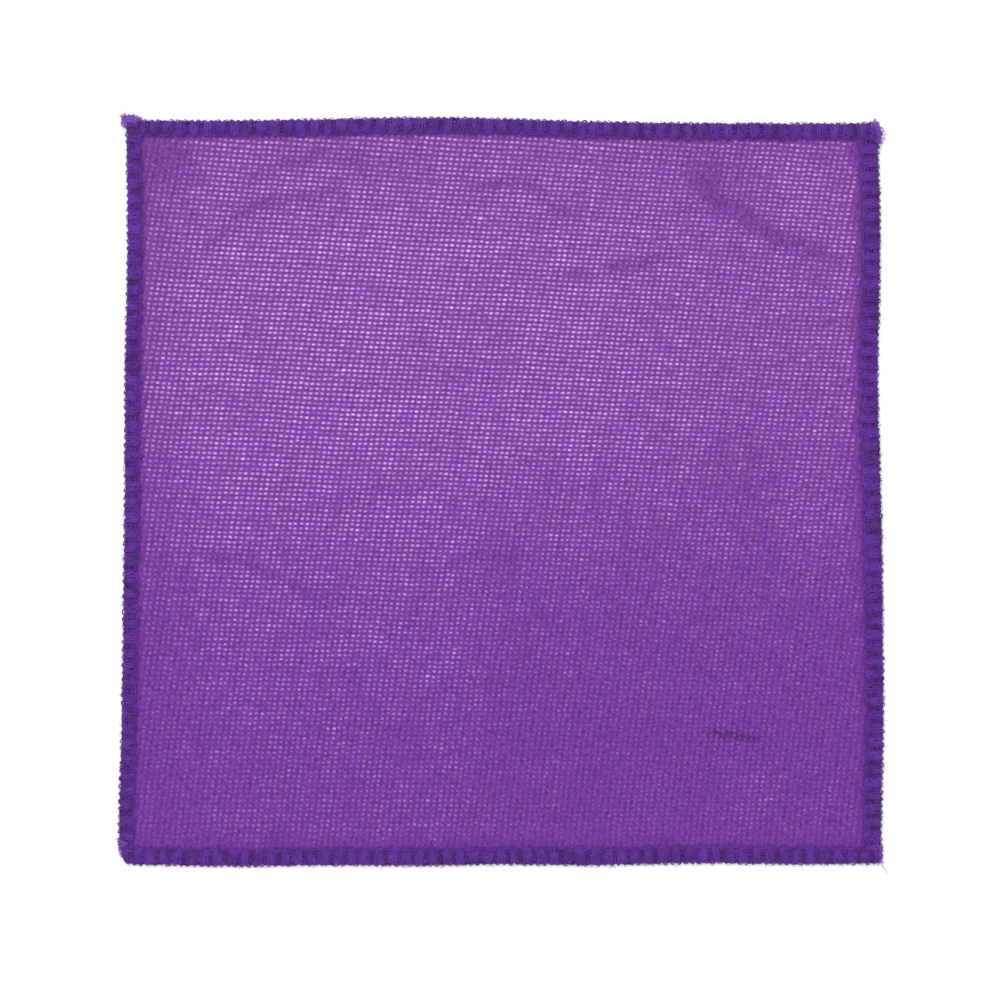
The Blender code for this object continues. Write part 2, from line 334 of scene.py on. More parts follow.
def bow(side, t):
    """How far a side's outer edge bulges beyond the straight line between its corners."""
    wave = side.wave * np.sin(2 * np.pi * side.cycles * t) * np.sin(np.pi * t)
    seam = SEAMS[side.name]
    drift = seam.shift + sum(a * np.sin(2 * np.pi * (n * t + phase)) for a, n, phase in seam.waves)
    drift = drift * smoothstep(0, DRIFT_FADE, t * (1 - t))
    reach = ROUND_REACH / length(side)
    drift += seam.round_start * np.clip(1 - t / reach, 0, 1) ** 2
    drift += seam.round_end * np.clip(1 - (1 - t) / reach, 0, 1) ** 2
    return side.rise * np.sin(np.pi * t) ** 2 + wave - drift * MM


def inset_from(side, x, y):
    """How far points lie inside a side's outer edge."""
    rel = np.stack((x, y), -1) - CORNERS[side.start]
    t = np.clip(rel @ along(side) / length(side), 0, 1)
    return bow(side, t) - rel @ outward(side)


def inset(x, y):
    return np.min([inset_from(side, x, y) for side in SIDES], axis=0)


def on_hem(side, distance, inward, height):
    """Points from their distance along a side's sewn run, inset and height."""
    run = side.start_inset + distance
    flat = CORNERS[side.start] + np.outer(run, along(side))
    flat += np.outer(bow(side, run / length(side)) - inward, outward(side))
    return np.column_stack((flat, height))


def run_length(side):
    return length(side) - side.start_inset - side.end_inset


def smoothstep(low, high, value):
    t = np.clip((value - low) / (high - low), 0, 1)
    return t * t * (3 - 2 * t)


def field(x, y, scale, seed, octaves=2):
    """A smooth random field of about -1 to 1, from crossed waves of about the given scale."""
    local = np.random.default_rng(seed)
    total, weight = np.zeros_like(x), 0.0
    for octave in range(octaves):
        for _ in range(FIELD_WAVES):
            angle, phase = local.uniform(0, 2 * np.pi, 2)
            k = 2 * np.pi / (scale * local.uniform(0.7, 1.5)) * 2**octave
            total += np.sin(k * (x * math.cos(angle) + y * math.sin(angle)) + phase) / 2**octave
        weight += FIELD_WAVES / 2**octave
    return total / weight * FIELD_GAIN


# ---- The cloth's knit ----


def knit_place(wale, course):
    """Where a point of the knit's lattice lies on the cloth."""
    x, y = WALE_PITCH * wale, COURSE_PITCH * course
    for _ in range(PLACE_PASSES):
        x_next = WALE_PITCH * wale + WALE_LEAN * y + WALE_BEND * y * y
        y = (COURSE_PITCH * course - COURSE_SLOPE * x) / (1 + COURSE_FAN * x)
        x = x_next
    shut = 1 - smoothstep(*STAGGER_OPEN, broad(x, y))
    astray = field(wale, STAGGER_SQUEEZE * course, STAGGER_SCALE, seed=5, octaves=1)
    drift_x = DRIFT_X * field(x, y, DRIFT_X_SCALE, seed=3)
    drift_y = DRIFT_Y * field(x, y, DRIFT_Y_SCALE, seed=4)
    return x + drift_x, y + drift_y + STAGGER * COURSE_PITCH * shut * astray


def along_fold(x, y, points, half_width):
    """1 along a fold and 0 away from it, fading at its ends."""
    points = np.array(points) * MM
    here = np.stack((x, y), -1)
    best = np.zeros_like(x)
    for k in range(len(points) - 1):
        span = points[k + 1] - points[k]
        t = np.clip((here - points[k]) @ span / (span @ span), 0, 1)
        away = np.linalg.norm(here - points[k] - t[..., None] * span, axis=-1)
        part = (k + t) / (len(points) - 1)
        fade = smoothstep(0, FOLD_FADE, part + FOLD_START)
        fade = fade * smoothstep(0, FOLD_FADE, 1 + FOLD_START - part)
        best = np.maximum(best, fade * np.exp(-((away / (half_width * MM)) ** 2)))
    return best


def glow(y):
    """How much painted glow the base colour gets for the light that the cloth lets through besides its
    holes: it falls off towards the front.
    """
    return smoothstep(*GLOW_RANGE, y)


def less(change, value):
    """How much is taken off at a place, from a row such as BACK_RIGHT."""
    amount, low, high = change
    return amount * smoothstep(low, high, value)


def broad(x, y):
    """How open the knit is over a broad area: most at the back left, least at the front right."""
    waver = BROAD_WAVER * field(x, y, BROAD_WAVER_SCALE, seed=11)
    back = (BACK_OPEN - less(BACK_RIGHT, x + waver)) * (1 - less(BACK_EDGE, y))
    front = FRONT_OPEN - less(FRONT_RIGHT, x + waver) - less(FRONT_EDGE, y)
    share = smoothstep(*BACK_TO_FRONT, y + waver - BACK_TO_FRONT_TILT * x)
    return (front + (back - front) * share) * (1 - less(LEFT_EDGE, x))


def openness(x, y):
    """How open each part of the knit is, from 0 to 1."""
    amount = broad(x, y)
    for px, py, reach, change in OPEN_PATCHES:
        away = ((x - px * MM) ** 2 + (y - py * MM) ** 2) / (reach * MM) ** 2
        amount = amount + change * np.exp(-away)
    broken = FOLD_DRAW + FOLD_BREAKS * field(x, y, FOLD_BREAKS_SCALE, seed=18)
    for half_width, shut, _, points in FOLDS:
        amount = amount - shut * broken * along_fold(x, y, points, half_width)
    clouds = CLOUDS * field(x, y, CLOUDS_SCALE, seed=12)
    amount = amount + clouds + MOTTLE * field(x, y, MOTTLE_SCALE, seed=13)
    waver = SHUT_WAVER * field(x, y, SHUT_WAVER_SCALE, seed=14)
    for side in SIDES:
        seam, deep = SEAMS[side.name], inset_from(side, x, y) / MM
        first = NEEDLE_LINE / MM * seam.width
        deep = deep + SHUT_UNEVEN * waver * seam.shut
        amount = amount * smoothstep(first + SHUT_FROM, first + SHUT_LEAST + seam.shut, deep)
    return np.clip(amount, 0, 1)


def uneven(wale, course):
    """Cell by cell unevenness of the knit, alike along runs of a row or a column: about -1 to 1."""
    local = np.random.default_rng(31)
    reach = int(max(abs(wale).max(), abs(course).max())) + 3
    total = LONE_UNEVEN * local.standard_normal((2 * reach + 1, 2 * reach + 1))
    for weight, half, axis in RUN_UNEVEN:
        runs = local.standard_normal(total.shape)
        runs = sum(np.roll(runs, k, axis) for k in range(-half, half + 1))
        total += weight / math.sqrt(2 * half + 1) * runs
    return total[wale + reach, course + reach]


def ridge(x, y, x0, y0, x1, y1, half_width):
    """1 along the line between two points and 0 away from it."""
    start, end = np.array((x0, y0)) * MM, np.array((x1, y1)) * MM
    span = end - start
    rel = np.stack((x, y), -1) - start
    t = rel @ span / (span @ span)
    across = rel @ np.array((-span[1], span[0])) / np.linalg.norm(span)
    ends = smoothstep(-CREASE_FADE, CREASE_FADE, t) * smoothstep(-CREASE_FADE, CREASE_FADE, 1 - t)
    return np.exp(-((across / (half_width * MM)) ** 2)) * ends


def lie(x, y):
    """The height of the cloth's underside: over the hem, down to the floor, and in soft ripples."""
    deep = inset(x, y)
    on_seam = CLOTH_TOP - CLOTH_BODY - FACE_DROP
    base = on_seam * (1 - smoothstep(HEM_LAND, CLIMB_END, deep)) + FLOOR_GAP
    ripples = sum(
        high * MM * along_fold(x, y, points, FOLD_SPREAD * half) for half, _, high, points in FOLDS
    )
    ripples += RIPPLE * np.clip(field(x, y, RIPPLE_SCALE, seed=21), 0, 2)
    pucker = PUCKER * np.clip(field(x, y, PUCKER_SCALE, seed=22), 0, 2) * smoothstep(*PUCKER_REACH, deep)
    creased = sum(high * MM * ridge(x, y, *ends, half) for *ends, half, high, _ in CREASES)
    return base + (ripples + pucker) * smoothstep(HEM_LAND, RIPPLES_FROM, deep) + creased


# The eight border points of a cell of the knit, in half steps from its middle
CELL_BORDER = np.array(((1, 0), (1, 1), (0, 1), (-1, 1), (-1, 0), (-1, -1), (0, -1), (1, -1)))


def knit_cells():
    """The column and row of every hole in the cloth, and its place."""
    reach_w, reach_c = (int(reach / p) for reach, p in zip(KNIT_REACH, (WALE_PITCH, COURSE_PITCH)))
    wale, course = np.meshgrid(
        np.arange(-reach_w, reach_w + 1), np.arange(-reach_c, reach_c + 1), indexing="ij"
    )
    x, y = knit_place(wale.astype(float), course.astype(float))
    kept = inset(x, y) > RAW_EDGE + CUT_MARGIN
    return wale[kept], course[kept], x[kept], y[kept]


def cell_borders(wale, course):
    """The border points, each shared by the cells that meet there: grid, index for each cell, x and y."""
    border = np.stack((2 * wale, 2 * course), -1)[:, None, :] + CELL_BORDER
    grid, index = np.unique(border.reshape(-1, 2), axis=0, return_inverse=True)
    x, y = knit_place(grid[:, 0] / 2, grid[:, 1] / 2)
    for side in SIDES:
        over = np.clip(RAW_EDGE - inset_from(side, x, y), 0, None)
        x, y = x - over * outward(side)[0], y - over * outward(side)[1]
    return grid, index.reshape(len(wale), 8), x, y


def hole_points(wale, course, amount):
    """The places of eight points round each hole's rim, and of its middle."""
    count = len(wale)
    size = HOLE_SIZE * (1 + HOLE_SPREAD * rng.standard_normal(count))
    turn = np.arctan2(CELL_BORDER[:, 1], CELL_BORDER[:, 0])
    lean = HOLE_LEAN[0] + HOLE_LEAN[1] * rng.standard_normal(count)[:, None]
    wide = (HOLE_WIDTH[0] + HOLE_WIDTH[1] * amount)[:, None]
    wide = wide + HOLE_STRAY * rng.standard_normal(count)[:, None]
    high = (1.0 - HOLE_SQUASH * amount)[:, None]
    stray = MIDDLE_STRAY[0] + MIDDLE_STRAY[1] * (1 - amount) ** 2
    middle_w = wale + stray * rng.standard_normal(count)
    middle_c = course + stray * rng.standard_normal(count)
    rim_w = middle_w[:, None] + size[:, None] * (wide * np.cos(turn) + lean * np.sin(turn))
    rim_c = middle_c[:, None] + size[:, None] * np.sin(turn) * high
    return *(v.ravel() for v in knit_place(rim_w, rim_c)), *knit_place(middle_w, middle_c)


def knit_mesh(points, index):
    """Four-sided faces from each cell's border points to its hole's rim, and a fan within the rim."""
    count = len(index)
    first = len(points) - 9 * count
    ring = first + np.arange(count)[:, None] * 8 + np.arange(8)
    middle = np.repeat(first + 8 * count + np.arange(count), 8).reshape(count, 8)
    quads = np.stack((index, np.roll(index, -1, 1), np.roll(ring, -1, 1), ring), -1).reshape(-1)
    fans = np.stack((ring, np.roll(ring, -1, 1), middle), -1).reshape(-1)
    starts = np.concatenate((np.arange(0, len(quads), 4), len(quads) + np.arange(0, len(fans), 3)))

    mesh = bpy.data.meshes.new("knit_cloth")
    mesh.vertices.add(len(points))
    mesh.vertices.foreach_set("co", points.ravel())
    mesh.loops.add(len(quads) + len(fans))
    mesh.loops.foreach_set("vertex_index", np.concatenate((quads, fans)).astype(np.int32))
    mesh.polygons.add(len(starts))
    mesh.polygons.foreach_set("loop_start", starts.astype(np.int32))
    mesh.polygons.foreach_set("use_smooth", np.ones(len(starts), dtype=bool))
    mesh.update(calc_edges=True)
    return mesh


def make_cloth():
    """The knit, cell by cell: eight border points round eight at the hole's rim and one in its middle."""
    wale, course, x, y = knit_cells()
    count = len(wale)
    grid, index, bx, by = cell_borders(wale, course)
    amount = openness(x, y)
    unevenness = (PALE_UNEVEN[0] + PALE_UNEVEN[1] * amount) * uneven(wale, course)
    pale = np.clip(amount + unevenness, 0, 1) ** PALE_POWER
    pale *= 1 - PALE_SHUT * (1 - smoothstep(*PALE_SHUT_UP_TO, amount))
    hx, hy, mx, my = hole_points(wale, course, amount)

    # relief: ribs up the columns of holes, valleys between the columns, dips at the holes
    between = grid[:, 0] % 2 == 1
    relief = np.where(between, GROOVE, RIB) + ROUGHNESS * rng.standard_normal(len(grid))
    bz = lie(bx, by) + CLOTH_BODY + relief
    hz = lie(hx, hy) + CLOTH_BODY - np.repeat(RIM_DEPTH + RIM_SHARE * HOLE_DEPTH * pale, 8)
    mz = lie(mx, my) + CLOTH_BODY - RIM_DEPTH - HOLE_DEPTH * pale
    points = [np.concatenate(v) for v in ((bx, hx, mx), (by, hy, my), (bz, hz, mz))]
    mesh = knit_mesh(np.column_stack(points), index)

    # what the material reads at each point
    px, py = points[:2]
    deep = np.min([inset_from(side, px, py) / SEAMS[side.name].width for side in SIDES], axis=0)
    opened = smoothstep(*DARK_OPEN, openness(bx, by))
    link = between & (grid[:, 1] % 2 == 0)
    # painted shade between the holes: in the valleys, on open ribs and between two holes of a row, at
    # random, and in the creases
    dark = np.where(between, DARK_VALLEY * (1 - opened), DARK_RIB * opened)
    dark = np.where(link, DARK_LINK - LINK_OPENS * opened, dark)
    dark = dark + DARK_SPREAD * rng.standard_normal(len(grid))
    dark = np.concatenate((dark, np.zeros(9 * count)))
    for *ends, half_width, _, shade in CREASES:
        dark += shade * ridge(px, py, *ends, half_width)
    # painted light through the holes: whole in their middles, less on their rims and between two open holes
    dots = np.where(link, PALE_LINK * opened, 0), np.full(8 * count, PALE_RIM), np.ones(count)
    waver = HEM_WAVER * field(px, py, HEM_WAVER_SCALE, seed=15)
    tint = 0.5 + TINT_BROAD * field(px, py, scale=0.030, seed=16)
    surface = {
        "dot": np.concatenate(dots),
        "pale": np.concatenate((openness(bx, by) ** PALE_POWER, np.repeat(pale, 8), pale)),
        "glow": glow(py),
        "dark": np.clip(dark, 0, 1),
        "hem": smoothstep(*HEM_SHADE, deep + waver),
        "tint": tint + TINT_FINE * field(px, py, scale=0.008, seed=17),
    }
    for name, values in surface.items():
        mesh.attributes.new(name, "FLOAT", "POINT").data.foreach_set("value", values.astype(np.float32))

    cloth = bpy.data.objects.new("knit_cloth", mesh)
    bpy.context.collection.objects.link(cloth)
    return cloth


# ---- The overlock threads ----

# The material slots of stray fibres, of the fluff round the edge and of the slack filaments
FUZZ, FLUFFY, BED = 1, 2, 3


def smooth_path(points, per_segment):
    """A Catmull-Rom curve through rows of numbers."""
    p = np.vstack((2 * points[0] - points[1], points, 2 * points[-1] - points[-2]))
    p0, p1, p2, p3 = (p[i : len(p) - 3 + i][:, None, :] for i in range(4))
    t = (np.arange(per_segment) / per_segment)[None, :, None]
    curve = 2 * p1 + (p2 - p0) * t + (2 * p0 - 5 * p1 + 4 * p2 - p3) * t**2
    curve = (curve + (3 * p1 - p0 - 3 * p2 + p3) * t**3) / 2
    return np.vstack((curve.reshape(-1, points.shape[1]), points[-1:]))


def thread_curve(name, radius, sides):
    data = bpy.data.curves.new(name, "CURVE")
    data.dimensions = "3D"
    data.bevel_depth = radius
    data.bevel_resolution = sides
    data.use_fill_caps = True
    thread = bpy.data.objects.new(name, data)
    bpy.context.collection.objects.link(thread)
    return thread


def add_strand(thread, points, radii, look=0):
    spline = thread.data.splines.new("POLY")
    spline.material_index = look
    spline.points.add(len(points) - 1)
    spline.points.foreach_set("co", np.column_stack((points, np.ones(len(points)))).ravel())
    spline.points.foreach_set("radius", np.broadcast_to(radii, len(points)).astype(float))
    spline.use_smooth = True


# One stitch of a looper thread: distance in pitches, inset in mm, height in mm over the cloth's face, and
# how far it is round the raw edge.
STITCH = (
    (LEG, 5.1, 0.20, 0),
    (LEG + 0.015, 3.8, 0.62, 0),
    (LEG + 0.005, 2.2, 0.66, 0),
    (LEG + 0.02, 1.2, 0.40, 0.1),
    (LEG + 0.06, 0.65, -0.30, 0.5),
    (0.34, 0.95, -0.75, 0.9),
    (0.50, 0.60, -0.95, 1),
    (0.66, 0.95, -0.75, 0.9),
    (1 - LEG - 0.06, 0.65, -0.30, 0.5),
    (1 - LEG - 0.02, 1.2, 0.40, 0.1),
    (1 - LEG - 0.005, 2.2, 0.66, 0),
    (1 - LEG - 0.015, 3.8, 0.62, 0),
    (1 - LEG, 5.1, 0.20, 0),
    (1.0, 5.5, 0.05, 0),
)


def looper_path(side, offset, per_segment):
    """The middle line of a looper thread over a run, as rows like those of STITCH but in metres."""
    pitch = run_length(side) / side.stitches
    width = SEAMS[side.name].width
    stitch = np.array(STITCH)
    stitch[:, 1] = np.where(stitch[:, 1] > 1, stitch[:, 1] * width, stitch[:, 1])
    rows = []
    for k in range(side.stitches):
        row = stitch.copy()
        jitter = rng.standard_normal(4)
        row[:, 0] += JITTER_PLACE * jitter[0] + JITTER_LEAN * jitter[1] * (row[:, 1] / 5)
        row[:, 1] *= 1 + JITTER_WIDTH * jitter[2]
        row[:, 2] += np.where(row[:, 2] > 0.3, JITTER_HEIGHT * jitter[3], 0)
        row[:, 0] = (k + offset + row[:, 0]) * pitch
        rows.append(row)
    path = np.vstack(rows)
    path[:, 0] = np.clip(path[:, 0], 0, run_length(side))
    path[:, 1:3] *= MM
    return smooth_path(path, per_segment)


def crimp(count, every):
    """Smooth random offsets for the points of a bulked filament."""
    knots = rng.standard_normal((4, count // every + 3))
    at = np.arange(count) / every
    return [np.interp(at, np.arange(knots.shape[1]), row) for row in knots]


def add_looper(thread, side, path, strands, offset, under):
    """The filaments of one looper thread: bulked, side by side on its legs, fanned out round the edge."""
    pitch = run_length(side) / side.stitches
    turned = path[:, 3]
    for strand in range(strands):
        place = strand - (strands - 1) / 2
        stray = crimp(len(path), 2)
        distance = path[:, 0] + place * STRAND_SPACING * (1 - turned) + CRIMP * stray[0]
        from_middle = ((distance / pitch - offset + 0.5) % 1 - 0.5) * pitch / (DOME_HALF * pitch)
        dome = (1 - turned) * np.clip(1 - from_middle**2, 0, 1)
        inward = path[:, 1] + (CRIMP * stray[1] + EDGE_SPACING * place * turned) * CRIMP_INWARD
        inward -= TIP_BACK * np.clip(from_middle**2, 0, 1) * smoothstep(*TIP_FROM, path[:, 1])
        height = path[:, 2] + CRIMP * stray[2] + DOME * dome - STRAND_UNDER * (strand % 2)
        height = LOWER_TOP - height if under else CLOTH_TOP + height
        radii = np.clip(1 + THICK_SPREAD * stray[3] - EDGE_THINNER * turned, *THICK_RANGE)
        points = on_hem(side, distance, inward, np.maximum(height, radii * STRAND_RADIUS))
        add_strand(thread, points, radii)


def add_bed(thread, side):
    """Slack filaments that wander along the seam under its stitches."""
    count = int(run_length(side) / BED_STEP)
    for line in range(BED_LINES):
        stray = crimp(count, 2)
        inward = (BED_FROM + BED_WIDTH * (line + 0.5) / BED_LINES) * MM * SEAMS[side.name].width
        inward = inward + BED_STRAY * stray[0] + BED_DRIFT * crimp(count, 9)[0]
        sag = BED_SAG * smoothstep(*BED_SAG_FROM, inward)
        height = CLOTH_TOP + BED_RISE + BED_WAVE * stray[1] - sag
        points = on_hem(side, np.arange(count) * BED_STEP + BED_SLIP * stray[2], inward, height)
        add_strand(thread, points, 1.0, BED)


def add_hairs(thread, side, number, insets, heights, scale, look):
    """Stray fibres over the seam, between two insets and two heights in mm."""
    for _ in range(number):
        start = np.array((rng.uniform(0, run_length(side)), rng.uniform(*insets) * MM))
        step = rng.uniform(*HAIR_STEP) * MM
        turns = rng.uniform(0, 2 * np.pi) + rng.normal(0, HAIR_CURL) * np.arange(4)
        walk = np.cumsum(np.column_stack((np.cos(turns), np.sin(turns))) * step, axis=0)
        walk = np.vstack((start, start + walk))
        rise = rng.uniform(*heights) * MM + np.linspace(0, rng.uniform(0, HAIR_RISE) * MM, 5)
        add_strand(thread, on_hem(side, walk[:, 0], walk[:, 1], rise), scale, look)


def make_upper(side):
    """The upper looper's thread, the slack filaments under it, and its fuzz on the face and at the edge."""
    thread = thread_curve("upper_looper_" + side.name, STRAND_RADIUS, 0)
    add_looper(thread, side, looper_path(side, 0.0, 3), UPPER_STRANDS, 0.0, under=False)
    add_bed(thread, side)
    face = CLOTH_TOP / MM
    fine = HAIR_RADIUS / STRAND_RADIUS
    add_hairs(thread, side, FACE_HAIRS, FACE_INSETS, (face + 0.3, face + 1.1), fine, FUZZ)
    add_hairs(thread, side, EDGE_HAIRS, EDGE_INSETS, (0.6, face + 0.9), fine, FLUFFY)
    return thread


def make_lower(side):
    """The lower looper's thread, and the thin loops that it leaves along the very edge."""
    thread = thread_curve("lower_looper_" + side.name, STRAND_RADIUS, 0)
    add_looper(thread, side, looper_path(side, 0.5, 2), LOWER_STRANDS, 0.5, under=True)
    pitch = run_length(side) / side.stitches / 2
    for _ in range(EDGE_LOOPS):
        rows = []
        for k in range(2 * side.stitches):
            out = rng.uniform(*LOOP_OUT)
            high = LOOP_HEIGHT + LOOP_UNEVEN * rng.standard_normal()
            leg = 0.3 - 0.7 * out
            for t, inward in ((0.0, 0.9), (0.25, leg), (0.5, -out), (0.75, leg)):
                distance = (k + t + LOOP_STRAY * rng.standard_normal()) * pitch
                rows.append((distance, inward * MM, high * MM))
        path = smooth_path(np.array(rows), 2)
        points = on_hem(side, path[:, 0], path[:, 1], np.maximum(path[:, 2], LEAST_HEIGHT))
        add_strand(thread, points, EDGE_LOOP_RADIUS / STRAND_RADIUS, FLUFFY)
    return thread


def make_needle(side):
    """The needle's thread, a row of stitches that dip into the cloth at their ends."""
    thread = thread_curve("needle_stitches_" + side.name, NEEDLE_RADIUS, 1)
    pitch = run_length(side) / side.stitches
    line = NEEDLE_LINE * SEAMS[side.name].width
    rows = []
    for k in range(side.stitches):
        for t, height in NEEDLE_STITCH:
            inward = line + NEEDLE_STRAY * rng.standard_normal()
            rows.append(((k + t) * pitch, inward, CLOTH_TOP + height * MM))
    path = smooth_path(np.array(rows), 3)
    add_strand(thread, on_hem(side, path[:, 0], path[:, 1], path[:, 2]), 1.0)
    return thread


# ---- Materials ----


def nodes_of(material):
    material.use_nodes = True
    tree = material.node_tree
    return tree, tree.nodes["Principled BSDF"]


def add_node(tree, kind, **values):
    node = tree.nodes.new(kind)
    for name, value in values.items():
        setattr(node, name, value)
    return node


def attribute(tree, name):
    return add_node(tree, "ShaderNodeAttribute", attribute_name=name).outputs["Fac"]


def maths(tree, operation, a, b):
    node = add_node(tree, "ShaderNodeMath", operation=operation)
    for socket, value in zip(node.inputs, (a, b)):
        if isinstance(value, (int, float)):
            socket.default_value = value
        else:
            tree.links.new(value, socket)
    return node.outputs[0]


def blend(tree, factor, first, second):
    """A colour between two colours or sockets."""
    node = add_node(tree, "ShaderNodeMix", data_type="RGBA")
    tree.links.new(factor, node.inputs["Factor"])
    for socket, value in ((node.inputs["A"], first), (node.inputs["B"], second)):
        if isinstance(value, tuple):
            socket.default_value = value
        else:
            tree.links.new(value, socket)
    return node.outputs["Result"]


def noise(tree, scale, detail):
    """Noise of so many cells a metre, fixed to the object."""
    where = add_node(tree, "ShaderNodeTexCoord").outputs["Object"]
    mapping = add_node(tree, "ShaderNodeMapping")
    mapping.inputs["Scale"].default_value = (scale, scale, scale)
    tree.links.new(where, mapping.inputs["Vector"])
    texture = add_node(tree, "ShaderNodeTexNoise")
    texture.inputs["Scale"].default_value = 1.0
    texture.inputs["Detail"].default_value = detail
    tree.links.new(mapping.outputs["Vector"], texture.inputs["Vector"])
    return texture.outputs["Fac"]


def stretch(tree, value, low, high):
    node = add_node(tree, "ShaderNodeMapRange")
    node.inputs["From Min"].default_value = low
    node.inputs["From Max"].default_value = high
    tree.links.new(value, node.inputs["Value"])
    return node.outputs["Result"]


def bump(tree, shader, height, distance, strength):
    node = add_node(tree, "ShaderNodeBump")
    node.inputs["Distance"].default_value = distance
    node.inputs["Strength"].default_value = strength
    tree.links.new(height, node.inputs["Height"])
    tree.links.new(node.outputs["Normal"], shader.inputs["Normal"])


def set_fibre_finish(shader, roughness, sheen_roughness):
    shader.inputs["Roughness"].default_value = roughness
    shader.inputs["Specular IOR Level"].default_value = 0.15
    shader.inputs["Sheen Weight"].default_value = 0.12
    shader.inputs["Sheen Roughness"].default_value = sheen_roughness
    shader.inputs["Sheen Tint"].default_value = SHEEN


def cloth_material():
    """Soft microfibre knit: painted light through the holes over the pale fibres that cross them, painted
    glow towards the back, painted shade in the valleys, a hem darkened partly by painted shade, and fine
    fuzz.
    """
    material = bpy.data.materials.new("microfibre_knit")
    tree, shader = nodes_of(material)
    fuzz = stretch(tree, noise(tree, scale=1500, detail=3), low=0.30, high=0.70)
    shade_specks = stretch(tree, noise(tree, scale=1150, detail=1), low=0.46, high=0.66)
    # painted glow: the base colour lightens towards the back for light through the cloth
    colour = blend(tree, attribute(tree, "glow"), CLOTH_CLOSED, CLOTH_LIT_THROUGH)
    bluish = blend(tree, attribute(tree, "glow"), BLUISH_CLOSED, BLUISH_LIT_THROUGH)
    colour = blend(tree, attribute(tree, "tint"), colour, bluish)
    # painted shade in the valleys, specks and creases
    colour = blend(tree, attribute(tree, "dark"), colour, PAINTED_SHADE)
    colour = blend(tree, maths(tree, "MULTIPLY", shade_specks, SHADE_SPECKS), colour, PAINTED_SHADE)
    # darker hem, partly painted shade beside the seam
    colour = blend(tree, attribute(tree, "hem"), colour, HEM)
    # painted light through the holes
    spot = stretch(tree, attribute(tree, "dot"), low=0.20, high=0.90)
    spot.node.interpolation_type = "SMOOTHSTEP"
    colour = blend(tree, maths(tree, "MULTIPLY", spot, attribute(tree, "pale")), colour, HOLE_PAINTED_LIGHT)
    tree.links.new(colour, shader.inputs["Base Color"])
    set_fibre_finish(shader, roughness=0.85, sheen_roughness=0.5)
    bump(tree, shader, fuzz, distance=0.00008, strength=0.5)
    return material


def thread_material(name, deep, mid, light):
    """Bulked polyester: bundles of fine crimped filaments, with painted highlights along their crests."""
    material = bpy.data.materials.new(name)
    tree, shader = nodes_of(material)
    tone = stretch(tree, noise(tree, scale=260, detail=3), low=0.32, high=0.66)
    fibres = stretch(tree, noise(tree, scale=3200, detail=2), low=0.30, high=0.70)
    colour = blend(tree, tone, deep, mid)
    # painted highlights, in fine random streaks
    colour = blend(tree, maths(tree, "MULTIPLY", fibres, CREST_HIGHLIGHTS), colour, light)
    tree.links.new(colour, shader.inputs["Base Color"])
    set_fibre_finish(shader, roughness=0.7, sheen_roughness=0.4)
    bump(tree, shader, fibres, distance=0.00006, strength=0.5)
    return material


def plain_material(name, colour, roughness):
    material = bpy.data.materials.new(name)
    shader = nodes_of(material)[1]
    shader.inputs["Base Color"].default_value = colour
    shader.inputs["Roughness"].default_value = roughness
    shader.inputs["Specular IOR Level"].default_value = 0.0
    return material


# ---- Chain tails ----

# The long thread left hanging at one corner: distance past the run's end, inset and height, in mm
LOOSE_END = ((-2.0, 0.6, 0.5), (0.6, 0.2, 0.5), (1.7, -0.9, 0.4), (2.5, -2.2, 0.3), (3.1, -3.4, 0.3))

# Piece, side, end, how far the tuft reaches past the run's end, the inset of its middle, half its width
# (all in mm), how much further it reaches on its outer side and in its middle, its number of strands and
# of hairs, and a loose thread
Tuft = namedtuple("Tuft", "name side end reach centre width tilt rounding strands hairs loose")

TUFTS = (
    Tuft("chain_tail_front_left", "front", "start", 2.0, 4.4, 2.8, -0.33, 0.3, 22, 24, None),
    Tuft("chain_tail_front_right", "front", "end", 1.7, 3.2, 2.8, 0.1, 0.1, 18, 30, LOOSE_END),
    Tuft("chain_tail_back_right", "back", "start", 2.4, 3.0, 3.2, -0.30, 0.40, 38, 160, None),
    Tuft("chain_tail_back_left", "left", "start", 2.5, 1.5, 2.9, 0.20, 0.20, 34, 200, None),
)
TUFT_HAIR_RADIUS = 2 * HAIR_RADIUS


